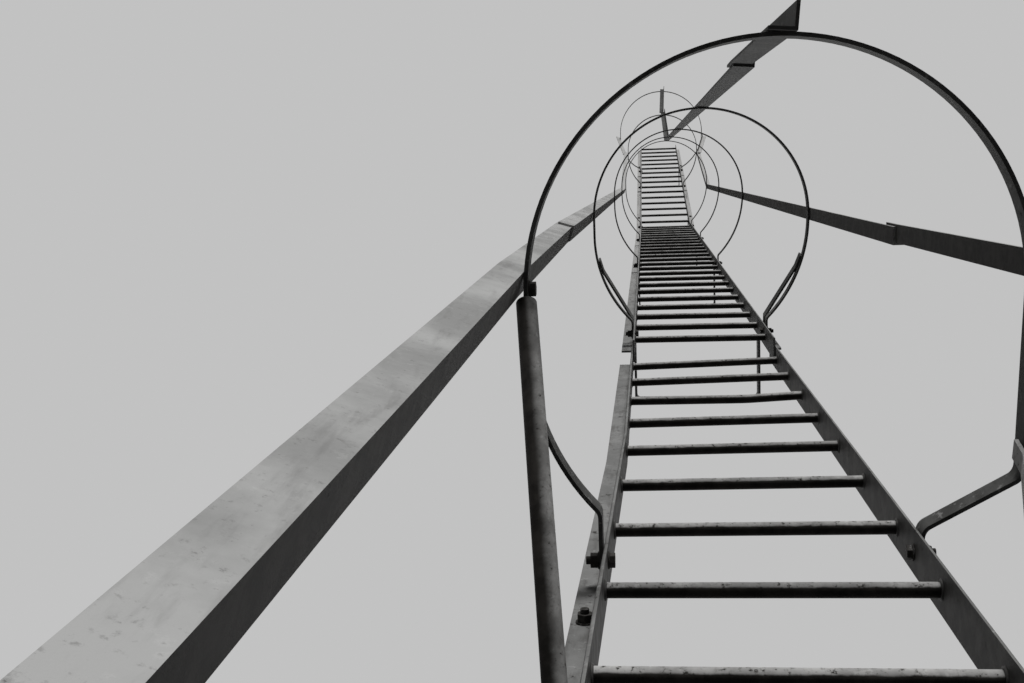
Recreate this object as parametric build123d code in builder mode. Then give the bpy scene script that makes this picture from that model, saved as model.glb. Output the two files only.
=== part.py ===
from build123d import *
import math
import os

# A caged steel ladder that follows a leaning steel leg and then stands
# upright above a kink. It is held by U-shaped brackets behind its rails.
# Millimetres. X is across the ladder, Y points from the climber to the
# structure behind it, Z is up. The origin is the middle of the flat back
# face of the lower of the two brackets on the upright run.

# Runs: the leaning run is measured along itself from its foot,
# the upright run from the kink
lean_angle = 8.7
rung_pitch = 305
foot_to_first_rung = 305
lower_rung_count = 17
middle_rung_count = 24
upper_rung_count = 16
last_rung_to_kink = 80
rail_above_last_rung = 95
origin_above_kink = 560

# Rails: angles with the web fore and aft and the flange turned outwards
clear_width = 425
web_depth = 70
flange_width = 45
rail_thickness = 6
root_radius = 5
splice_lap = 195
splice_above_rung = 250

# The lower section is racked: its rails stand further back at the splice,
# and the left one spreads outwards below a slight bend
left_rail_drift = 45
right_rail_drift = 31
drift_from_rung = 8
left_rail_spread = 29
spread_start = 3995
spread_end = 2395

# Rungs: round bars between the webs
rung_diameter = 22
bent_rung_index = 14
bent_rung_dip = 26
bent_rung_offset = 75
bent_rung_radius = 160
end_gap = 0.4

# Cage: flat-bar hoops round the climber, angle straps outside them
hoop_radius = 347
hoop_forward = 400
hoop_shift = 8
bar_height = 40
bar_thickness = 6
hoop_tab_length = 60
hoop_tab_front = 5
hoop_bend_radius = 22
left_flank = 60
right_flank = 10
lowest_left_tab = 92
lowest_left_flank = 80
seat_gap = 0.3
lowest_hoop = 3158
hoop_above_splice = 132
hoop_below_kink = 140
span_hoop_heights = [8377, 10612]
upper_hoop_heights = [2000, 2950]
top_hoop_radius = 440
top_hoop_forward = 450
knocked_side_x = 345
knocked_side_y = -128
knocked_tab_rise = 72
knocked_tab_back = 20

strap_leg = 40
strap_thickness = 5
strap_past_hoop = 30
back_strap_below = 15
side_strap_foot = 1590
left_strap_turn = 197
left_strap_foot_y = -410
left_strap_low_y = -435
left_strap_splice_y = -433
left_strap_kink_y = -349
right_strap_low_y = -406
right_strap_splice_y = -386
right_strap_kink_y = -325
back_strap_turn = 275
right_strap_turn = 0
strap_lap = 110
splay_gap = 0.8
back_splice_above_hoop = 642
left_splice = 4450
right_splice = 4150
top_splice_above_hoop = 50

stay_width = 30
stay_thickness = 6
stay_tab = 45
left_stay_x = -343
left_stay_y = -384
left_stay_foot_x = -272
left_stay_foot = 2665
right_stay_drop = 560
right_stay_y = -166
upper_stay_rise = 85
upper_stay_y = -262
stay_rail_y = -10

# Brackets: one flat bar bent to a U, with feet behind the rail flanges
wall_reach = 265
bracket_height = 60
bracket_thickness = 8
bracket_bend = 12
leaning_bracket_heights = [2500, 5810, 8690, 11240]
upper_bracket_spacing = 3000
bolt_hole_diameter = 14
bolt_hole_spacing = 240

half_clear = clear_width / 2
half_web = web_depth / 2
lean = math.radians(lean_angle)
kink_height = (foot_to_first_rung + (lower_rung_count + middle_rung_count - 1) * rung_pitch
               + last_rung_to_kink)
first_upper_rung = rung_pitch - last_rung_to_kink
upper_length = first_upper_rung + (upper_rung_count - 1) * rung_pitch + rail_above_last_rung
kink_point = Vector(0, -wall_reach, -origin_above_kink)
leaning_up = Vector(0, math.sin(lean), math.cos(lean))
leaning_back = Vector(0, math.cos(lean), -math.sin(lean))
rail_outer = half_clear + rail_thickness

os.makedirs("parts", exist_ok=True)


# Places in the two runs

def leaning(x, y, s):
    """Point on the leaning run: x across, y towards the structure, s up from the foot."""
    return kink_point + Vector(x, 0, 0) + leaning_back * y + leaning_up * (s - kink_height)


def upright(x, y, s):
    """Point on the upright run: s is measured up from the kink."""
    return kink_point + Vector(x, y, s)


def plane_at(run, s):
    """Plane square to a run at height s: its x is across and its y points to the structure."""
    return Plane(origin=run(0, 0, s), x_dir=(1, 0, 0), z_dir=(run(0, 0, s + 1) - run(0, 0, s)))


def plane_between(start, end):
    """Plane at start whose normal points to end, with its x as near to across as can be."""
    normal = (end - start).normalized()
    across = Vector(1, 0, 0) - normal * normal.X
    return Plane(origin=start, x_dir=across, z_dir=normal)


def rung_height(index):
    return foot_to_first_rung + index * rung_pitch


def finish(builder, name):
    builder.part.label = name
    export_step(builder.part, f"parts/{name}.step")


# Rails

splice_bottom = rung_height(lower_rung_count) - splice_above_rung
splice_top = splice_bottom + splice_lap
drift_base = rung_height(drift_from_rung)
drift_span = splice_top - drift_base
lower_half_clear = rail_outer + seat_gap


def lower_rail(side, s):
    """Inner web face and mid-depth of a lower rail at height s, in the leaning run."""
    drift = left_rail_drift if side < 0 else right_rail_drift
    spread = 0
    if side < 0:
        spread = left_rail_spread * min(max((spread_start - s) / (spread_start - spread_end), 0), 1)
    return side * (lower_half_clear + spread), drift * (s - drift_base) / drift_span


def make_rail(side, route, trims, coped=0):
    """Angle with its inner web face on the route.

    Each trim is a plane and the side kept; coped is the length of flange cut away at the start.
    """
    base = plane_between(route[0], route[1])
    inner_corner = (side * rail_thickness, half_web - rail_thickness)
    with BuildPart() as rail:
        with BuildLine():
            Polyline(*route)
        with BuildSketch(base) as section:
            with BuildLine():
                Polyline(
                    (0, -half_web),
                    (side * rail_thickness, -half_web),
                    inner_corner,
                    (side * flange_width, half_web - rail_thickness),
                    (side * flange_width, half_web),
                    (0, half_web),
                    close=True,
                )
            make_face()
            fillet(section.vertices().sort_by_distance(base.from_local_coords(inner_corner))[0],
                   root_radius)
        sweep(transition=Transition.RIGHT)
        if coped:
            with BuildSketch(base):
                with Locations((side * (rail_thickness + flange_width / 2), half_web)):
                    Rectangle(flange_width, 2 * (rail_thickness + root_radius))
            extrude(amount=coped, mode=Mode.SUBTRACT)
        for plane, keep in trims:
            split(bisect_by=plane, keep=keep)
    return rail


mitre = Plane(origin=kink_point, x_dir=(1, 0, 0), z_dir=(leaning_up + Vector(0, 0, 1)))
mitre_spare = 80
for side, hand in ((-1, "left"), (1, "right")):
    bends = [0, spread_end, spread_start, splice_top] if side < 0 else [0, splice_top]
    finish(make_rail(side, [leaning(*lower_rail(side, s), s) for s in bends], []), f"lower_{hand}_rail")
    x = side * half_clear
    finish(make_rail(side, [leaning(x, 0, splice_bottom), leaning(x, 0, kink_height + mitre_spare)],
                     [(mitre, Keep.BOTTOM)], coped=splice_lap + root_radius),
           f"middle_{hand}_rail")
    finish(make_rail(side, [upright(x, 0, -mitre_spare), upright(x, 0, upper_length)],
                     [(mitre, Keep.TOP)]),
           f"upper_{hand}_rail")


# Rungs

def make_rungs(ends):
    """Round bars between pairs of points on the webs, short of both by the end gap."""
    with BuildPart() as rungs:
        for start, end in ends:
            direction = (end - start).normalized()
            with BuildSketch(Plane(origin=start + direction * end_gap, z_dir=direction)):
                Circle(rung_diameter / 2)
            extrude(amount=(end - start).length - 2 * end_gap)
    return rungs


lower_heights = [rung_height(i) for i in range(lower_rung_count) if i != bent_rung_index]
middle_heights = [rung_height(lower_rung_count + i) for i in range(middle_rung_count)]
upper_heights = [first_upper_rung + i * rung_pitch for i in range(upper_rung_count)]

finish(make_rungs([(leaning(*lower_rail(-1, s), s), leaning(*lower_rail(1, s), s)) for s in lower_heights]),
       "lower_rungs")
finish(make_rungs([(leaning(-half_clear, 0, s), leaning(half_clear, 0, s)) for s in middle_heights]),
       "middle_rungs")
finish(make_rungs([(upright(-half_clear, 0, s), upright(half_clear, 0, s)) for s in upper_heights]),
       "upper_rungs")

with BuildPart() as bent_rung:
    s = rung_height(bent_rung_index)
    left_x, left_y = lower_rail(-1, s)
    right_x, right_y = lower_rail(1, s)
    dip_y = left_y + (right_y - left_y) * (bent_rung_offset - left_x) / (right_x - left_x)
    with BuildLine() as bent_path:
        FilletPolyline(
            leaning(left_x - rail_thickness, left_y, s),
            leaning(bent_rung_offset, dip_y, s - bent_rung_dip),
            leaning(right_x + rail_thickness, right_y, s),
            radius=bent_rung_radius,
        )
    with BuildSketch(Plane(origin=bent_path.line @ 0, z_dir=bent_path.line % 0)):
        Circle(rung_diameter / 2)
    sweep()
    split(bisect_by=Plane(origin=(left_x + end_gap, 0, 0), z_dir=(1, 0, 0)), keep=Keep.TOP)
    split(bisect_by=Plane(origin=(right_x - end_gap, 0, 0), z_dir=(1, 0, 0)), keep=Keep.BOTTOM)
finish(bent_rung, "bent_rung")


# Hoops

usual_legs = ((left_flank, hoop_tab_length), (right_flank, hoop_tab_length))


def make_hoop(name, run, s, tabs, radius=hoop_radius, forward=hoop_forward, legs=usual_legs,
              knocked=False):
    """Flat-bar hoop at height s: tabs holds the (x, y) of the rail faces that it bolts to.

    Each leg has the length of its straight flank and of its tab. A knocked hoop has its
    right leg pushed in, and climbing to a tab that stands higher and further back.
    """
    centre = Vector(hoop_shift, -forward)
    with BuildPart() as hoop:
        with BuildSketch(plane_at(run, s - bar_height / 2)):
            with BuildLine() as profile:
                CenterArc(centre, radius, 180, 180)
                for side, (tab_x, tab_y), (flank_length, tab_length) in zip((-1, 1), tabs, legs):
                    flank = centre + Vector(side * radius, 0)
                    leg_start = flank + Vector(0, flank_length)
                    Line(flank, leg_start)
                    if knocked and side > 0:
                        continue
                    bend = Vector(tab_x, tab_y + hoop_tab_front - tab_length)
                    TangentArc(leg_start, bend, tangent=(0, 1))
                    Line(bend, (tab_x, tab_y + hoop_tab_front))
                    fillet(profile.vertices().sort_by_distance(bend)[0], hoop_bend_radius)
                offset(amount=bar_thickness, side=Side.RIGHT)
            make_face()
        extrude(amount=bar_height)
        if knocked:
            half_bar = bar_thickness / 2
            risen = s + knocked_tab_rise
            end_y = tab_y + hoop_tab_front + knocked_tab_back
            with BuildLine() as leg_path:
                FilletPolyline(
                    run(leg_start.X + half_bar, leg_start.Y, s),
                    run(knocked_side_x + half_bar, knocked_side_y, s),
                    run(tab_x + half_bar, end_y - tab_length, risen),
                    run(tab_x + half_bar, end_y, risen),
                    radius=hoop_bend_radius + half_bar,
                )
            with BuildSketch(Plane(origin=leg_path.line @ 0, x_dir=(1, 0, 0), z_dir=leg_path.line % 0)):
                Rectangle(bar_thickness, bar_height)
            upwards = run(0, 0, bar_height) - run(0, 0, 0)
            sweep(binormal=leg_path.wire().moved(Location(upwards)))
    finish(hoop, name)


def rail_faces(s, on_lower):
    """Outer web faces, with their mid-depth, where a hoop's tabs are bolted."""
    faces = []
    for side in (-1, 1):
        x, y = lower_rail(side, s - bar_height / 2) if on_lower else (side * half_clear, 0)
        faces.append((x + side * (rail_thickness + seat_gap), y))
    return faces


make_hoop("hoop_1", leaning, lowest_hoop, rail_faces(lowest_hoop, True),
          legs=((lowest_left_flank, lowest_left_tab), (right_flank, hoop_tab_length)), knocked=True)

second_hoop = splice_top + hoop_above_splice
for number, s in enumerate([second_hoop, *span_hoop_heights, kink_height - hoop_below_kink], start=2):
    make_hoop(f"hoop_{number}", leaning, s, rail_faces(s, False))

flare_hoop, top_hoop = upper_hoop_heights
make_hoop("hoop_6", upright, flare_hoop, rail_faces(flare_hoop, False))
make_hoop("hoop_7", upright, top_hoop, rail_faces(top_hoop, False), top_hoop_radius, top_hoop_forward)


# Straps

hoop_seat = hoop_radius + bar_thickness + seat_gap


def on_hoop(angle, radius=hoop_seat, forward=hoop_forward):
    """Place on the outside of a hoop, angle degrees round it from the right-hand side."""
    return Vector(hoop_shift, -forward) + Vector(radius, 0).rotate(Axis.Z, angle)


def beside_hoop(side, y, radius=hoop_seat):
    """Place against the straight flank of a hoop."""
    return Vector(hoop_shift + side * radius, y)


def nested(corner, turn, gap=seat_gap, shift=0):
    """Corner of an angle that lies over the one at corner, inside the open side of its legs.

    It stands clear of the standing leg by a further shift.
    """
    outward = Vector(1, 0).rotate(Axis.Z, turn)
    along = Vector(outward.Y, -outward.X)
    return corner + (outward + along) * (strap_thickness + gap) + along * shift


def make_strap(name, run, route, turn, trims=()):
    """Angle along the route: one leg stands out at turn, the other lies on the hoops."""
    up = (route[1] - route[0]).normalized()
    outward = run(math.cos(math.radians(turn)), math.sin(math.radians(turn)), 0) - run(0, 0, 0)
    outward = outward - up * outward.dot(up)
    with BuildPart() as strap:
        with BuildLine():
            Polyline(*route)
        with BuildSketch(Plane(origin=route[0], x_dir=outward, z_dir=up)):
            with BuildLine():
                Polyline(
                    (0, 0),
                    (0, -strap_leg),
                    (strap_thickness, -strap_leg),
                    (strap_thickness, -strap_thickness),
                    (strap_leg, -strap_thickness),
                    (strap_leg, 0),
                    close=True,
                )
            make_face()
        sweep(transition=Transition.RIGHT)
        for plane, keep in trims:
            split(bisect_by=plane, keep=keep)
    finish(strap, name)


def place(run, corner, s):
    return run(corner.X, corner.Y, s)


# Each lower strap is bent to lie along the strap that it laps; the left one is also bent
# at the lowest hoop and stands rolled. Corner on the lowest hoop, at the splice and at
# the kink, way the standing leg points, foot, splice
left_low_angle = 180 - math.degrees(math.asin((hoop_forward + left_strap_low_y) / hoop_seat))
right_low_angle = math.degrees(math.asin((hoop_forward + right_strap_low_y) / hoop_seat))
back_corner = on_hoop(back_strap_turn)
strap_rows = [
    ("left", on_hoop(left_low_angle), beside_hoop(-1, left_strap_splice_y),
     beside_hoop(-1, left_strap_kink_y), left_strap_turn, side_strap_foot, left_splice),
    ("back", back_corner, back_corner, back_corner, back_strap_turn,
     lowest_hoop - bar_height / 2 - back_strap_below, lowest_hoop + back_splice_above_hoop),
    ("right", on_hoop(right_low_angle), beside_hoop(1, right_strap_splice_y),
     beside_hoop(1, right_strap_kink_y), right_strap_turn, side_strap_foot, right_splice),
]
for hand, low_corner, splice_corner, kink_corner, turn, foot, splice in strap_rows:
    seat = place(leaning, low_corner, lowest_hoop)
    over = place(leaning, nested(splice_corner, turn), splice)
    drift = (kink_corner - splice_corner) / (kink_height - splice)
    lap_end = over + place(leaning, drift * strap_lap, strap_lap) - leaning(0, 0, 0)
    if hand == "left":
        foot_end = [leaning(low_corner.X, left_strap_foot_y, foot), seat]
    else:
        foot_end = [seat + (over - seat) * (foot - lowest_hoop) / (splice - lowest_hoop)]
    make_strap(f"lower_{hand}_strap", leaning, [*foot_end, over, lap_end], turn)
    make_strap(f"middle_{hand}_strap", leaning,
               [place(leaning, splice_corner, splice),
                place(leaning, kink_corner + drift * mitre_spare, kink_height + mitre_spare)],
               turn, [(mitre, Keep.BOTTOM)])
    top_splice = flare_hoop + bar_height / 2 + top_splice_above_hoop
    make_strap(f"upper_{hand}_strap", upright,
               [place(upright, kink_corner, -mitre_spare),
                place(upright, kink_corner, top_splice + strap_lap)],
               turn, [(mitre, Keep.TOP)])
    lap_share = strap_lap / (top_hoop - bar_height / 2 - top_splice)
    shift = (top_hoop_forward - hoop_forward + strap_thickness + splay_gap) * lap_share / (1 - lap_share)
    over = place(upright, nested(kink_corner, turn, splay_gap, shift), top_splice)
    if hand == "back":
        top_corner = on_hoop(back_strap_turn, top_hoop_radius + bar_thickness + seat_gap,
                             top_hoop_forward)
    else:
        widening = (top_hoop_radius - hoop_radius) * (-1 if hand == "left" else 1)
        top_corner = kink_corner + Vector(widening, hoop_forward - top_hoop_forward)
    seat = place(upright, top_corner, top_hoop - bar_height / 2)
    climb = (seat - over).normalized()
    make_strap(f"top_{hand}_strap", upright,
               [over, seat + climb * (bar_height + strap_past_hoop)], turn)


# Stays

def make_stay(name, run, start, tab_turn, end, side):
    """Flat bar from a hoop to a rail: start and end are (x, y, s) on its outer face.

    The bar lies in a plane that holds the X axis. Its first tab leans tab_turn towards the middle.
    """
    rise = run(0, end[1], end[2]) - run(0, start[1], start[2])
    lean_x = side * math.sin(math.radians(tab_turn)) * stay_tab
    with BuildPart() as stay:
        with BuildSketch(Plane(origin=run(0, start[1], start[2]), x_dir=(1, 0, 0),
                               z_dir=Vector(1, 0, 0).cross(rise))):
            with BuildLine():
                Polyline(
                    (start[0], 0),
                    (start[0] - lean_x, math.cos(math.radians(tab_turn)) * stay_tab),
                    (end[0], rise.length - stay_tab),
                    (end[0], rise.length),
                )
                offset(amount=stay_thickness, side=Side.RIGHT if side < 0 else Side.LEFT)
            make_face()
        extrude(amount=stay_width / 2, both=True)
    finish(stay, name)


# The lower left stay lies flat on the rail's flange and is welded under the lowest hoop
stay_offset = stay_thickness + seat_gap
tab_end = left_stay_foot - stay_tab
flange_front = lower_rail(-1, tab_end)[1] + half_web - rail_thickness - seat_gap
head = leaning(left_stay_x, left_stay_y, lowest_hoop)
bend = leaning(left_stay_foot_x, flange_front, left_stay_foot)
brace = head - bend
across = brace.cross(leaning_back).normalized()
side_view = Plane(origin=bend, x_dir=leaning_back, z_dir=across)
with BuildPart() as lower_left_stay:
    with BuildSketch(side_view):
        with BuildLine():
            Polyline((0, stay_tab), (0, 0), side_view.to_local_coords(head))
            offset(amount=stay_thickness, side=Side.RIGHT)
        make_face()
    extrude(amount=stay_width / 2, both=True)
    split(bisect_by=plane_at(leaning, lowest_hoop - bar_height / 2 - seat_gap), keep=Keep.BOTTOM)
finish(lower_left_stay, "lower_left_stay")

# The lower right stay bears on the side that was knocked out
foot_s = lowest_hoop - right_stay_drop
foot_x, foot_y = lower_rail(1, foot_s)
make_stay("lower_right_stay", leaning, (knocked_side_x - seat_gap, right_stay_y, lowest_hoop), 0,
          (foot_x + rail_thickness + stay_offset, foot_y + stay_rail_y, foot_s), 1)

# The upper stays start inside the curved legs of the second hoop and cut the corner to the rails
for side, hand, flank_length in ((-1, "left", left_flank), (1, "right", right_flank)):
    flank_x = hoop_shift + side * hoop_radius
    leg_y = flank_length - hoop_forward
    leg = Vector(side * (rail_outer + seat_gap) - flank_x, hoop_tab_front - hoop_tab_length - leg_y)
    leg_radius = leg.length ** 2 / (2 * abs(leg.X))
    middle_y = upper_stay_y + stay_tab / 2
    leg_turn = math.asin((middle_y - leg_y) / leg_radius)
    tilt = math.atan2(upper_stay_rise, stay_rail_y - upper_stay_y)
    half_reach = (stay_tab * math.cos(tilt) + stay_width * math.sin(tilt)) / 2
    clear = half_reach ** 2 / (2 * leg_radius) + stay_width / 2 * math.sin(leg_turn) * math.sin(tilt)
    middle_x = flank_x - side * (leg_radius * (1 - math.cos(leg_turn)) + clear + seat_gap)
    make_stay(f"upper_{hand}_stay", leaning,
              (middle_x + side * math.tan(leg_turn) * stay_tab / 2, upper_stay_y, second_hoop),
              math.degrees(leg_turn),
              (side * (rail_outer + stay_offset), stay_rail_y, second_hoop + upper_stay_rise), side)


# Brackets

def make_bracket(name, run, s, feet):
    """U-shaped bracket at height s: each foot ends at x and lies behind a flange at y."""
    (left_end, left_back), (right_end, right_back) = feet
    inner_back = wall_reach - bracket_thickness
    with BuildPart() as bracket:
        with BuildSketch(plane_at(run, s - bracket_height / 2)):
            with BuildLine():
                FilletPolyline(
                    (left_end, left_back + seat_gap),
                    (-half_clear, left_back + seat_gap),
                    (-half_clear, inner_back),
                    (half_clear, inner_back),
                    (half_clear, right_back + seat_gap),
                    (right_end, right_back + seat_gap),
                    radius=bracket_bend,
                )
                offset(amount=bracket_thickness, side=Side.LEFT)
            make_face()
        extrude(amount=bracket_height)
        with BuildSketch(Plane(origin=run(0, wall_reach, s), x_dir=(1, 0, 0),
                               z_dir=run(0, 0, s) - run(0, wall_reach, s))):
            with GridLocations(bolt_hole_spacing, 0, 2, 1):
                Circle(bolt_hole_diameter / 2)
        extrude(amount=bracket_thickness, mode=Mode.SUBTRACT)
    finish(bracket, name)


plain_feet = [(side * (half_clear + flange_width), half_web) for side in (-1, 1)]
for number, s in enumerate(leaning_bracket_heights, start=1):
    feet = plain_feet
    if s < splice_bottom:
        feet = [(lower_rail(side, s)[0] + side * flange_width,
                 lower_rail(side, s + bracket_height / 2)[1] + half_web) for side in (-1, 1)]
    make_bracket(f"bracket_{number}", leaning, s, feet)

for number in (1, 2):
    make_bracket(f"bracket_{len(leaning_bracket_heights) + number}", upright,
                 origin_above_kink + (number - 1) * upper_bracket_spacing, plain_feet)
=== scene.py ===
import bpy
import math
from mathutils import Matrix, Vector


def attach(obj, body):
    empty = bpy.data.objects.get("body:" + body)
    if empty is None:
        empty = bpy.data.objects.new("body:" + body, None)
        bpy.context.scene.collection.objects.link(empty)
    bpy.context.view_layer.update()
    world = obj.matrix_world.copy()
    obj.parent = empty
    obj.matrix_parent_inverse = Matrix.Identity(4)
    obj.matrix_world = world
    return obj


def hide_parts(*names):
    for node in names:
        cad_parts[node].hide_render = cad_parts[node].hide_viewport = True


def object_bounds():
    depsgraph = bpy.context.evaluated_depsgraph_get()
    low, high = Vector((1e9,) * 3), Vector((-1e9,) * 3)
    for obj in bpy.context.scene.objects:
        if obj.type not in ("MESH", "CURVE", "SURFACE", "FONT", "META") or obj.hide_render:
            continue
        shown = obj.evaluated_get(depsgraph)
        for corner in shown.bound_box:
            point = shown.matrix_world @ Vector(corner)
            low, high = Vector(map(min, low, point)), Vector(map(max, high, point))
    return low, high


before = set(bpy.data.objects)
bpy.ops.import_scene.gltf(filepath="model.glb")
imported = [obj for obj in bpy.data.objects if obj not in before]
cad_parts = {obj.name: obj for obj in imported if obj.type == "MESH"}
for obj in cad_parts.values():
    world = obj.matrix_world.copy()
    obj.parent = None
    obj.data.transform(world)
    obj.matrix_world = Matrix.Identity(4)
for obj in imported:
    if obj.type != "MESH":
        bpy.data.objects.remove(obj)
cad_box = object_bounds()
bpy.ops.object.select_all(action="DESELECT")


# The camera stands at the foot of the ladder, close under the cage,
# and looks up along the leaning run.
camera_turn = (math.radians(163.0377), math.radians(-5.6555), math.radians(2.8637))
bpy.ops.object.camera_add(location=(-0.16856, -2.53968, -11.556), rotation=camera_turn)
camera = bpy.context.object
camera.name = "camera"
camera.data.lens = 43.945
camera.data.sensor_width = 36
camera.data.clip_start = 0.02
camera.data.clip_end = 200
bpy.context.scene.camera = camera


# The light is that of a dull day, pale from all round. Most of it falls on the
# front of the ladder, where the cage is, and a little on its back.
world = bpy.data.worlds.new("backdrop")
bpy.context.scene.world = world
world.use_nodes = True
nodes = world.node_tree.nodes
links = world.node_tree.links
nodes.clear()
pale_backdrop = nodes.new("ShaderNodeBackground")
pale_backdrop.inputs["Color"].default_value = (0.54, 0.54, 0.54, 1)
pale_backdrop.inputs["Strength"].default_value = 1.0
backdrop_light = nodes.new("ShaderNodeBackground")
backdrop_light.inputs["Color"].default_value = (1, 1, 1, 1)
backdrop_light.inputs["Strength"].default_value = 0.13


def pale_rays(nodes, links):
    """1 for the rays that see a surface straight, or in metal or through glass."""
    ray = nodes.new("ShaderNodeLightPath")
    straight_or_mirrored = nodes.new("ShaderNodeMath")
    straight_or_mirrored.operation = "MAXIMUM"
    links.new(ray.outputs["Is Camera Ray"], straight_or_mirrored.inputs[0])
    links.new(ray.outputs["Is Glossy Ray"], straight_or_mirrored.inputs[1])
    any_of_them = nodes.new("ShaderNodeMath")
    any_of_them.operation = "MAXIMUM"
    links.new(straight_or_mirrored.outputs["Value"], any_of_them.inputs[0])
    links.new(ray.outputs["Is Transmission Ray"], any_of_them.inputs[1])
    return any_of_them.outputs["Value"]


backdrop_mix = nodes.new("ShaderNodeMixShader")
backdrop_out = nodes.new("ShaderNodeOutputWorld")
links.new(pale_rays(nodes, links), backdrop_mix.inputs["Fac"])
links.new(backdrop_light.outputs["Background"], backdrop_mix.inputs[1])
links.new(pale_backdrop.outputs["Background"], backdrop_mix.inputs[2])
links.new(backdrop_mix.outputs["Shader"], backdrop_out.inputs["Surface"])

bpy.ops.object.light_add(type="SUN", rotation=(math.radians(66), 0, math.radians(4)))
sun = bpy.context.object
sun.name = "sun"
sun.data.energy = 3.2
sun.data.angle = math.radians(22)

bpy.ops.object.light_add(type="SUN", rotation=(math.radians(-48), 0, 0))
fill = bpy.context.object
fill.name = "fill"
fill.data.energy = 1.1
fill.data.angle = math.radians(70)


# The floor is a plain pale sheet under the foot of the ladder. It throws little
# light back up, so the undersides stay dark.
floor_size = 400
floor_gap = 0.002
bpy.ops.mesh.primitive_plane_add(size=floor_size, location=(0, -2, cad_box[0][2] - floor_gap))
floor = bpy.context.object
floor.name = "floor"
floor_paint = bpy.data.materials.new("floor_paint")
floor_paint.use_nodes = True
nodes = floor_paint.node_tree.nodes
links = floor_paint.node_tree.links
pale_sheet = nodes["Principled BSDF"]
pale_sheet.inputs["Base Color"].default_value = (0.72, 0.72, 0.72, 1)
pale_sheet.inputs["Roughness"].default_value = 0.9
dull_sheet = nodes.new("ShaderNodeBsdfDiffuse")
dull_sheet.inputs["Color"].default_value = (0.09, 0.09, 0.09, 1)
sheet_mix = nodes.new("ShaderNodeMixShader")
links.new(pale_rays(nodes, links), sheet_mix.inputs["Fac"])
links.new(dull_sheet.outputs["BSDF"], sheet_mix.inputs[1])
links.new(pale_sheet.outputs["BSDF"], sheet_mix.inputs[2])
links.new(sheet_mix.outputs["Shader"], nodes["Material Output"].inputs["Surface"])
floor.data.materials.append(floor_paint)


# The rails are rolled steel angles, painted grey long ago. The paint has chalked, most
# of all high up, and has streaked and flaked. The lower pair laps the middle pair
# outside, is welded to it there, and has been pushed out of line with it.
lean = math.radians(8.7)
kink = Vector((0, -0.265, -0.560))
kink_height = 12.585
run_back = Vector((0, math.cos(lean), -math.sin(lean)))
run_up = Vector((0, math.sin(lean), math.cos(lean)))
half_clear = 0.2125
web_thickness = 0.006
seat_gap = 0.0003
spread_start = 3.995
spread_end = 2.395
left_rail_spread = 0.029
drift_start = 2.745
drift_end = 5.435
left_rail_drift = 0.045
right_rail_drift = 0.031


def leaning(x, y, s):
    """Point on the leaning run: x across, y to the back, s up from the foot."""
    return kink + Vector((x, 0, 0)) + run_back * y + run_up * (s - kink_height)


def upright(x, y, s):
    """Point on the upright run, s up from the kink."""
    return kink + Vector((x, y, s))


def lower_rail(side, s):
    """Inner web face and mid-depth of a lower rail."""
    spread = 0
    drift_at_end = right_rail_drift
    if side < 0:
        spread = left_rail_spread * min(max((spread_start - s) / (spread_start - spread_end), 0), 1)
        drift_at_end = left_rail_drift
    drift = drift_at_end * (s - drift_start) / (drift_end - drift_start)
    return side * (half_clear + web_thickness + seat_gap + spread), drift


def straight_rail(side, s):
    """Inner web face and mid-depth of a middle or upper rail."""
    return side * half_clear, 0


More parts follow.
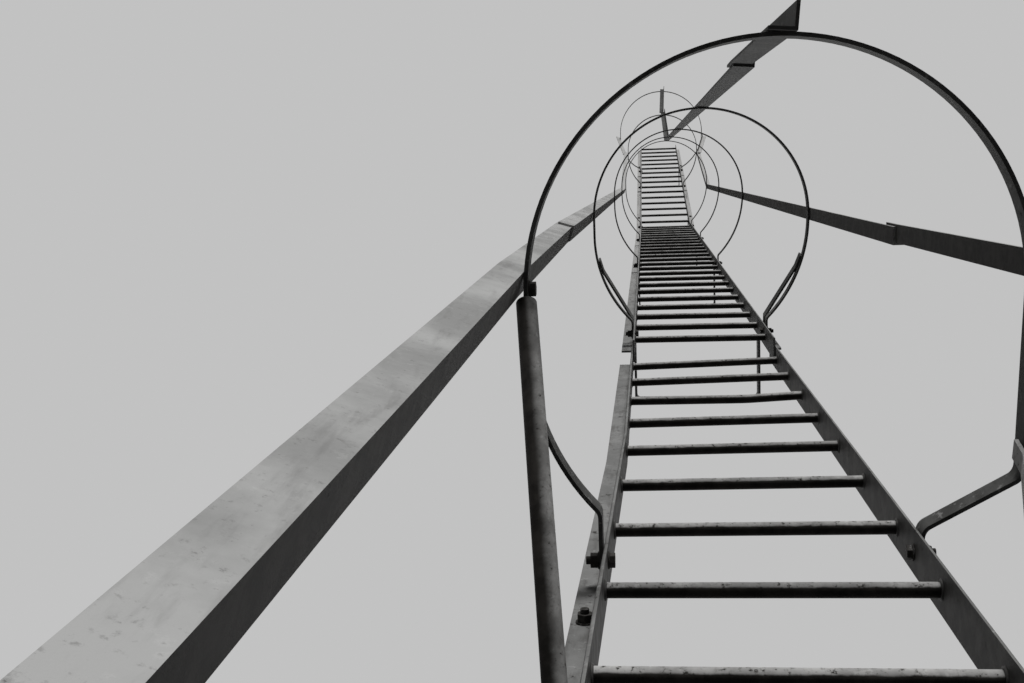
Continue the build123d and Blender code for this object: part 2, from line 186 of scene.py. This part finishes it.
def weathered_steel(name, paint, faded, rust, patch_size=0.14, chipped=0.34, streaked=0.5, depth=0.35,
                    scuffed=0.25, bleached=None, painted_shade=None):
    """Old paint on steel: faded and streaked by rain, scuffed, and chipped down to rust in spots.

    bleached holds low, high and paint: the old paint turns to this one from low to high.
    The last argument holds facing, both_ways, start, end and paint: from start to end, the more a face
    is turned that way, the more it has this darker paint, as painted shade on that side.
    """
    material = bpy.data.materials.new(name)
    material.use_nodes = True
    nodes = material.node_tree.nodes
    links = material.node_tree.links
    shader = nodes["Principled BSDF"]
    place = nodes.new("ShaderNodeTexCoord").outputs["Object"]

    def noise(scale, detail, roughness, stretch=None):
        spot = nodes.new("ShaderNodeTexNoise")
        spot.inputs["Scale"].default_value = scale
        spot.inputs["Detail"].default_value = detail
        spot.inputs["Roughness"].default_value = roughness
        if stretch is None:
            links.new(place, spot.inputs["Vector"])
        else:
            along = nodes.new("ShaderNodeMapping")
            along.inputs["Rotation"].default_value = (lean, 0, 0)
            along.inputs["Scale"].default_value = stretch
            links.new(place, along.inputs["Vector"])
            links.new(along.outputs["Vector"], spot.inputs["Vector"])
        return spot.outputs["Fac"]

    def between(value, low, high):
        limits = nodes.new("ShaderNodeMapRange")
        limits.interpolation_type = "SMOOTHSTEP"
        limits.inputs["From Min"].default_value = low
        limits.inputs["From Max"].default_value = high
        links.new(value, limits.inputs["Value"])
        return limits.outputs["Result"]

    def blend(share, first, second):
        mix = nodes.new("ShaderNodeMix")
        mix.data_type = "RGBA"
        share_socket, first_socket, second_socket = mix.inputs[0], mix.inputs[6], mix.inputs[7]
        links.new(share, share_socket)
        for socket, colour in ((first_socket, first), (second_socket, second)):
            if isinstance(colour, tuple):
                socket.default_value = (*colour, 1)
            else:
                links.new(colour, socket)
        return mix.outputs[2]

    def times(value, factor):
        product = nodes.new("ShaderNodeMath")
        product.operation = "MULTIPLY"
        product.inputs[1].default_value = factor
        links.new(value, product.inputs[0])
        return product.outputs["Value"]

    def plus(base, value, factor):
        total = nodes.new("ShaderNodeMath")
        total.operation = "MULTIPLY_ADD"
        total.inputs[1].default_value = factor
        links.new(value, total.inputs[0])
        links.new(base, total.inputs[2])
        return total.outputs["Value"]

    def darker(colour, share):
        return tuple(share * tone for tone in colour)

    blotches = between(noise(scale=1 / patch_size, detail=7, roughness=0.62), low=0.36, high=0.66)
    streaks = between(noise(scale=1, detail=6, roughness=0.6, stretch=(55, 55, 3.5)), low=0.5, high=0.72)
    specks = between(noise(scale=140, detail=8, roughness=0.7), low=0.56, high=0.68)
    scuffs = between(noise(scale=70, detail=10, roughness=0.72), low=0.57, high=0.63)
    chips = noise(scale=7 / patch_size, detail=10, roughness=0.68)
    chip_line = 1 - chipped
    chip_edge = 0.03
    chip_rim = 0.08
    bare_spots = between(chips, low=chip_line, high=chip_line + chip_edge)
    bare_rims = between(chips, low=chip_line - chip_rim, high=chip_line)

    speck_strength = 0.4
    rim_strength = 0.35
    scuffed_metal = (0.55, 0.548, 0.54)
    rust_in_chips = darker(rust, 0.55)
    colour = blend(blotches, paint, faded)
    if bleached:
        height = nodes.new("ShaderNodeSeparateXYZ")
        links.new(place, height.inputs["Vector"])
        high_up = between(height.outputs["Z"], low=bleached["low"], high=bleached["high"])
        colour = blend(high_up, colour, bleached["paint"])
    colour = blend(times(streaks, streaked), colour, rust)
    colour = blend(times(specks, speck_strength), colour, rust)
    colour = blend(times(bare_rims, rim_strength), colour, rust)
    colour = blend(bare_spots, colour, rust_in_chips)
    colour = blend(times(scuffs, scuffed), colour, scuffed_metal)

    # Painted shade: faces turned one way get a darker, mottled paint in place of shade.
    if painted_shade:
        turned = nodes.new("ShaderNodeVectorMath")
        turned.operation = "DOT_PRODUCT"
        turned.inputs[1].default_value = painted_shade["facing"]
        links.new(nodes.new("ShaderNodeNewGeometry").outputs["Normal"], turned.inputs[0])
        facing = turned.outputs["Value"]
        if painted_shade["both_ways"]:
            either_way = nodes.new("ShaderNodeMath")
            either_way.operation = "ABSOLUTE"
            links.new(facing, either_way.inputs[0])
            facing = either_way.outputs["Value"]
        raggedness = 0.5
        noise_middle = 0.5
        ragged = plus(facing, noise(scale=38, detail=9, roughness=0.66), raggedness)
        reach = between(ragged, low=painted_shade["start"] + raggedness * noise_middle,
                        high=painted_shade["end"] + raggedness * noise_middle)
        mottles = between(noise(scale=26, detail=8, roughness=0.62), low=0.38, high=0.64)
        darkest_painted_shade = darker(painted_shade["paint"], 0.45)
        mottled = blend(mottles, darkest_painted_shade, painted_shade["paint"])
        colour = blend(reach, colour, mottled)
    links.new(colour, shader.inputs["Base Color"])

    gloss = nodes.new("ShaderNodeMapRange")
    gloss.inputs["To Min"].default_value = 0.66
    gloss.inputs["To Max"].default_value = 0.95
    links.new(bare_spots, gloss.inputs["Value"])
    links.new(gloss.outputs["Result"], shader.inputs["Roughness"])
    shader.inputs["Specular IOR Level"].default_value = 0.03

    chip_sink = -1.0
    grain_height = 0.4
    grain = noise(scale=700, detail=5, roughness=0.6)
    bump = nodes.new("ShaderNodeBump")
    bump.inputs["Strength"].default_value = depth
    bump.inputs["Distance"].default_value = 0.0008
    relief = plus(times(grain, grain_height), bare_spots, chip_sink)
    links.new(relief, bump.inputs["Height"])
    links.new(bump.outputs["Normal"], shader.inputs["Normal"])
    return material


def clad(material, *names):
    """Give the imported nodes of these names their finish."""
    for name in names:
        node = bpy.data.objects[name]
        node.data.materials.clear()
        node.data.materials.append(material)


# The faces that look sideways, mostly the webs, are painted darker, as painted shade.
rail_steel = weathered_steel("rail_steel", paint=(0.15, 0.15, 0.147), faded=(0.21, 0.21, 0.206),
                             rust=(0.05, 0.047, 0.044), chipped=0.37, scuffed=0.2,
                             bleached=dict(low=-7.5, high=-1.5, paint=(0.35, 0.348, 0.342)),
                             painted_shade=dict(facing=(1, 0, 0), both_ways=True, start=0.6, end=0.9,
                                        paint=(0.07, 0.068, 0.065)))
for part in ("lower", "middle", "upper"):
    clad(rail_steel, f"{part}_left_rail", f"{part}_right_rail")


# The tabs and feet of the cage and of the brackets are held by hexagon bolts, each with
# a washer under its head and its nut. They were never painted and are black with rust.
# One head and one nut are made here and copied to every bolt.
washer_radius = 0.013
washer_thickness = 0.2 * washer_radius
hexagon_radius = 0.87 * washer_radius
head_height = 0.62 * washer_radius
nut_height = 0.85 * washer_radius
thread_radius = 0.47 * washer_radius
thread_length = 0.6 * washer_radius
thread_showing = 0.5 * washer_radius
worn_edge = 0.0007
turn_between_copies = 0.7


def hexagon(name, height, threaded):
    """Washer and hexagon, standing on the origin, with the thread showing past a nut."""
    bpy.ops.mesh.primitive_cylinder_add(vertices=28, radius=washer_radius, depth=washer_thickness,
                                        location=(0, 0, washer_thickness / 2))
    washer = bpy.context.object
    bpy.ops.mesh.primitive_cylinder_add(vertices=6, radius=hexagon_radius, depth=height,
                                        location=(0, 0, washer_thickness + height / 2))
    piece = bpy.context.object
    stack = [washer, piece]
    if threaded:
        thread_end = washer_thickness + height + thread_showing
        bpy.ops.mesh.primitive_cylinder_add(vertices=16, radius=thread_radius, depth=thread_length,
                                            location=(0, 0, thread_end - thread_length / 2))
        stack.append(bpy.context.object)
    bpy.ops.object.select_all(action="DESELECT")
    for layer in stack:
        layer.select_set(True)
    bpy.context.view_layer.objects.active = piece
    bpy.ops.object.join()
    piece.name = name
    bpy.ops.object.transform_apply(location=True, rotation=True, scale=True)
    bpy.ops.object.modifier_add(type="BEVEL")
    piece.modifiers["Bevel"].width = worn_edge
    piece.modifiers["Bevel"].segments = 2
    bpy.ops.object.modifier_apply(modifier="Bevel")
    return piece


bolt_head = hexagon("bolt_head", head_height, threaded=False)
bolt_nut = hexagon("bolt_nut", nut_height, threaded=True)
bolt_steel = weathered_steel("bolt_steel", paint=(0.03, 0.028, 0.026), faded=(0.06, 0.057, 0.054),
                             rust=(0.012, 0.011, 0.01), patch_size=0.02, depth=0.6)


def set_out(pattern, spots):
    """Copies of a pattern, one at each place, each standing along its axis."""
    copies = []
    for number, (place, axis) in enumerate(spots):
        piece = pattern.copy()
        piece.data = pattern.data.copy()
        bpy.context.collection.objects.link(piece)
        stood_up = axis.to_track_quat("Z", "Y").to_matrix().to_4x4()
        turned = Matrix.Rotation(turn_between_copies * number, 4, "Z")
        piece.matrix_world = Matrix.Translation(place) @ stood_up @ turned
        copies.append(piece)
    return copies


def joined(pieces, name, material):
    """One finished piece that rides with the ladder."""
    bpy.ops.object.select_all(action="DESELECT")
    for piece in pieces:
        piece.select_set(True)
    bpy.context.view_layer.objects.active = pieces[0]
    bpy.ops.object.join()
    piece = bpy.context.object
    piece.name = name
    bpy.ops.object.transform_apply(location=True, rotation=True, scale=True)
    piece.data.materials.clear()
    piece.data.materials.append(material)
    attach(piece, "root")
    bpy.ops.object.select_all(action="DESELECT")


def bolts(name, pairs):
    """Bolts from the face under each head to the face under each nut."""
    heads = set_out(bolt_head, [(head, (head - nut).normalized()) for head, nut in pairs])
    nuts = set_out(bolt_nut, [(nut, (nut - head).normalized()) for head, nut in pairs])
    joined(heads + nuts, name, bolt_steel)


# The rungs are round bars, welded all round to the webs at both ends. Their undersides
# and backs are painted dark, as painted shade, so their fronts stand out lighter.
rung_radius = 0.011
rung_pitch = 0.305


def rung_heights(lowest, count):
    """Heights of the rungs of one length of rail."""
    return [lowest + rung_pitch * number for number in range(count)]


lower_rungs = rung_heights(lowest=0.305, count=17)
middle_rungs = rung_heights(lowest=5.490, count=24)
upper_rungs = rung_heights(lowest=0.225, count=16)
# Faces turned down and back get the dark paint, as painted shade.
rung_steel = weathered_steel("rung_steel", paint=(0.25, 0.247, 0.242), faded=(0.4, 0.396, 0.388),
                             rust=(0.08, 0.075, 0.07), patch_size=0.06, chipped=0.41, streaked=0.15,
                             depth=0.6, scuffed=0.4,
                             painted_shade=dict(facing=(0, 0.94, -0.34), both_ways=False, start=-0.6, end=-0.34,
                                        paint=(0.04, 0.037, 0.034)))
clad(rung_steel, "lower_rungs", "bent_rung", "middle_rungs", "upper_rungs")

# One weld bead is made, a little flattened and uneven, and copied to every rung's end.
bead_radius = 0.0034
bead_ring_radius = rung_radius + 0.0012
bead_flatness = 0.85
bead_unevenness = 0.0007
weld_steel = weathered_steel("weld_steel", paint=(0.07, 0.068, 0.066), faded=(0.12, 0.118, 0.115),
                             rust=(0.03, 0.028, 0.026), patch_size=0.02, depth=0.9)
bpy.ops.mesh.primitive_torus_add(major_radius=bead_ring_radius, minor_radius=bead_radius,
                                 major_segments=14, minor_segments=5)
bead = bpy.context.object
bpy.ops.object.mode_set(mode="EDIT")
bpy.ops.mesh.select_all(action="SELECT")
bpy.ops.transform.resize(value=(1, 1, bead_flatness))
bpy.ops.transform.vertex_random(offset=bead_unevenness, seed=7)
bpy.ops.object.mode_set(mode="OBJECT")
bpy.ops.object.shade_smooth()


def bead_places(run, heights, rail):
    """Both ends of each rung, where it meets the webs."""
    spots = []
    for s in heights:
        for side in (-1, 1):
            x, y = rail(side, s)
            spots.append((run(x, y, s), Vector((-side, 0, 0))))
    return spots


for part, run, heights, rail in (("lower", leaning, lower_rungs, lower_rail),
                                 ("middle", leaning, middle_rungs, straight_rail),
                                 ("upper", upright, upper_rungs, straight_rail)):
    beads = set_out(bead, bead_places(run, heights, rail))
    joined(beads, f"{part}_rung_welds", weld_steel)
bpy.data.objects.remove(bead)


# The hoops are flat bars, rolled to the round of the cage and bent to tabs that
# are bolted to the outside of the rail webs, one bolt to a tab. The right tab of
# the lowest one has been knocked up and back.
bar_height = 0.040
bar_thickness = 0.006
leaning_hoops = [3.158, 5.567, 8.377, 10.612, 12.445]
upright_hoops = [2.000, 2.950]
tab_bolt_y = -0.010
top_tab_bolt_y = -0.024
knocked_tab_rise = 0.072
knocked_bolt_y = 0.008
hoops = [(leaning, s) for s in leaning_hoops] + [(upright, s) for s in upright_hoops]
hoop_steel = weathered_steel("hoop_steel", paint=(0.055, 0.055, 0.053), faded=(0.1, 0.1, 0.097),
                             rust=(0.028, 0.026, 0.024), patch_size=0.09, streaked=0.4)

for number, (run, s) in enumerate(hoops, start=1):
    clad(hoop_steel, f"hoop_{number}")
    tab_bolts = []
    for side in (-1, 1):
        web = side * half_clear
        bolt_y = top_tab_bolt_y if number == len(hoops) else tab_bolt_y
        bolt_s = s
        if number == 1:
            web = lower_rail(side, s - bar_height / 2)[0]
            bolt_y += lower_rail(side, s)[1]
        if number == 1 and side > 0:
            bolt_y = knocked_bolt_y
            bolt_s += knocked_tab_rise
        tab = web + side * (web_thickness + seat_gap + bar_thickness)
        tab_bolts.append((run(web, bolt_y, bolt_s), run(tab, bolt_y, bolt_s)))
    bolts(f"hoop_{number}_tab_bolts", tab_bolts)


# The straps are light angles that tie the hoops together down the back and sides of
# the cage. They are welded to the hoops and to each other where they lap. The back
# ones are given a darker copy of the paint, as painted shade, while the others face
# the light; on those, the faces turned sideways are painted darker, as painted shade.
# The faces of these straps that look sideways are painted darker, as painted shade.
strap_steel = weathered_steel("strap_steel", paint=(0.25, 0.25, 0.246), faded=(0.38, 0.38, 0.375),
                              rust=(0.08, 0.077, 0.074), patch_size=0.2, chipped=0.3, streaked=0.3,
                              scuffed=0.15, bleached=dict(low=-5.0, high=-0.8, paint=(0.4, 0.398, 0.392)),
                              painted_shade=dict(facing=(1, 0, 0), both_ways=True, start=0.6, end=0.85,
                                         paint=(0.036, 0.034, 0.032)))
# A darker copy of the strap paint, as painted shade on the back straps.
shaded_back_strap_steel = weathered_steel("shaded_back_strap_steel", paint=(0.045, 0.045, 0.044),
                                   faded=(0.075, 0.075, 0.073), rust=(0.03, 0.028, 0.026),
                                   patch_size=0.2, chipped=0.33, streaked=0.3, scuffed=0.15)
for part in ("lower", "middle", "upper", "top"):
    clad(strap_steel, f"{part}_left_strap", f"{part}_right_strap")
    clad(shaded_back_strap_steel, f"{part}_back_strap")

# One bolt shows beside the left strap, through the lowest hoop.
strap_bolt_y = -0.408
strap_bolt_head_x = -0.3390
strap_bolt_nut_x = -0.3572
bolts("left_strap_bolt", [(leaning(strap_bolt_head_x, strap_bolt_y, leaning_hoops[0]),
                                          leaning(strap_bolt_nut_x, strap_bolt_y, leaning_hoops[0]))])


# The stays prop the hoops from the rails. Three are short flat bars, bent to tabs at
# both ends. The lower left one is a round bar, welded under the lowest hoop, with its
# foot hammered flat and bolted to the flange of the rail. Its left side is painted
# darker than its right, as painted shade.
clad(hoop_steel, "upper_left_stay", "upper_right_stay")
flat_stay_steel = weathered_steel("flat_stay_steel", paint=(0.38, 0.377, 0.37), faded=(0.5, 0.496, 0.487),
                                  rust=(0.09, 0.085, 0.08), patch_size=0.05, chipped=0.38, scuffed=0.7)
clad(flat_stay_steel, "lower_right_stay")
# The round bar's faces turned left are painted dark, as painted shade.
round_stay_steel = weathered_steel("round_stay_steel", paint=(0.17, 0.168, 0.164), faded=(0.31, 0.307, 0.3),
                                   rust=(0.06, 0.056, 0.052), patch_size=0.06, chipped=0.37,
                                   painted_shade=dict(facing=(-0.9, 0.3, 0.2), both_ways=False, start=-1.0,
                                              end=-0.15, paint=(0.025, 0.023, 0.021)))
left_foot_x = -0.274
left_foot_y = 0.0236
stay_head = leaning(-0.341, -0.390, 3.1375)
stay_bend = leaning(-0.276, left_foot_y, 2.665)
stay_toe = leaning(left_foot_x, left_foot_y, 2.620)
stay_radius = 0.015
foot_half_width = 0.0175
foot_half_thickness = 0.003
hammered_length = 0.040
hammered_steps = 5
bend_share = 0.15
stay_edge = 0.0012
bar_up = (stay_head - stay_bend).normalized()
across = run_back.cross(bar_up).normalized()
stay_frame = Matrix((across, bar_up.cross(across), bar_up)).transposed()
round_length = (stay_head - stay_bend).length - hammered_length

bpy.ops.mesh.primitive_cylinder_add(vertices=28, radius=stay_radius, depth=round_length,
                                    location=(0, 0, hammered_length + round_length / 2))
round_stay = bpy.context.object
round_stay.name = "round_lower_left_stay"
bpy.ops.object.transform_apply(location=True, rotation=True, scale=True)
bpy.ops.object.mode_set(mode="EDIT")
bpy.ops.mesh.select_mode(type="FACE")
bpy.ops.mesh.select_all(action="DESELECT")
bpy.ops.object.mode_set(mode="OBJECT")
for face in round_stay.data.polygons:
    face.select = face.normal.z < -0.9
bpy.ops.object.mode_set(mode="EDIT")

wider = (foot_half_width / stay_radius) ** (1 / hammered_steps)
thinner = (foot_half_thickness / stay_radius) ** (1 / hammered_steps)
hammered_step = Vector((0, 0, -hammered_length / hammered_steps))
for _ in range(hammered_steps):
    bpy.ops.mesh.extrude_region_move(TRANSFORM_OT_translate={"value": hammered_step})
    bpy.ops.transform.resize(value=(wider, thinner, 1))
toe_way = stay_frame.inverted() @ (stay_toe - stay_bend)
for share in (bend_share, 1 - bend_share):
    bpy.ops.mesh.extrude_region_move(TRANSFORM_OT_translate={"value": toe_way * share})
bpy.ops.object.mode_set(mode="OBJECT")

round_stay.matrix_world = Matrix.Translation(stay_bend) @ stay_frame.to_4x4()
bpy.ops.object.transform_apply(location=True, rotation=True, scale=True)
bpy.ops.object.modifier_add(type="BEVEL")
round_stay.modifiers["Bevel"].width = stay_edge
round_stay.modifiers["Bevel"].segments = 2
round_stay.modifiers["Bevel"].angle_limit = math.radians(50)
bpy.ops.object.modifier_apply(modifier="Bevel")
bpy.ops.object.shade_smooth_by_angle(angle=math.radians(40))
bpy.ops.object.select_all(action="DESELECT")
round_stay.data.materials.append(round_stay_steel)
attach(round_stay, "root")
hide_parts("lower_left_stay")
clad(round_stay_steel, "lower_left_stay")

left_foot_bolt_s = 2.640
left_foot_bolt_ys = (0.0206, 0.0353)
right_foot_y = -0.0177
right_foot_bolt_s = 2.6197
right_foot_bolt_xs = (0.2188, 0.2311)
bolts("stay_foot_bolts", [
    tuple(leaning(left_foot_x, y, left_foot_bolt_s) for y in left_foot_bolt_ys),
    tuple(leaning(x, right_foot_y, right_foot_bolt_s) for x in right_foot_bolt_xs)])


# The brackets are flat bars bent to a U, which stand the rails off what they are fixed
# to. Their feet are bolted behind the flanges, and their backs have two holes each.
half_web = 0.035
bracket_thickness = 0.008
foot_bolt_out = 0.0195
bracket_places = [(leaning, 2.500), (leaning, 5.810), (leaning, 8.690), (leaning, 11.240),
                  (upright, 0.560), (upright, 3.560)]
bracket_steel = weathered_steel("bracket_steel", paint=(0.13, 0.128, 0.125), faded=(0.18, 0.178, 0.175),
                                rust=(0.05, 0.047, 0.044), patch_size=0.08)

for number, (run, s) in enumerate(bracket_places, start=1):
    clad(bracket_steel, f"bracket_{number}")
    rail = lower_rail if number == 1 else straight_rail
    foot_bolts = []
    for side in (-1, 1):
        web, middle = rail(side, s)
        x = web + side * (web_thickness + foot_bolt_out)
        flange_front = middle + half_web - web_thickness
        foot_back = middle + half_web + 2 * seat_gap + bracket_thickness
        foot_bolts.append((run(x, flange_front, s), run(x, foot_back, s)))
    bolts(f"bracket_{number}_foot_bolts", foot_bolts)


# One more hexagon bolt stands in the flange of the lower left rail, below the
# lowest hoop. Its nut is in front and its head behind.
flange_bolt_s = 3.0
flange_bolt_out = 0.025
web, middle = lower_rail(-1, flange_bolt_s)
flange_bolt_x = web - flange_bolt_out
bolts("left_flange_bolt", [
    (leaning(flange_bolt_x, middle + half_web, flange_bolt_s),
     leaning(flange_bolt_x, middle + half_web - web_thickness, flange_bolt_s))])


# The spare head and nut are taken away. The view shows the colours as they are.
bpy.data.objects.remove(bolt_head)
bpy.data.objects.remove(bolt_nut)
bpy.context.scene.view_settings.view_transform = "Standard"
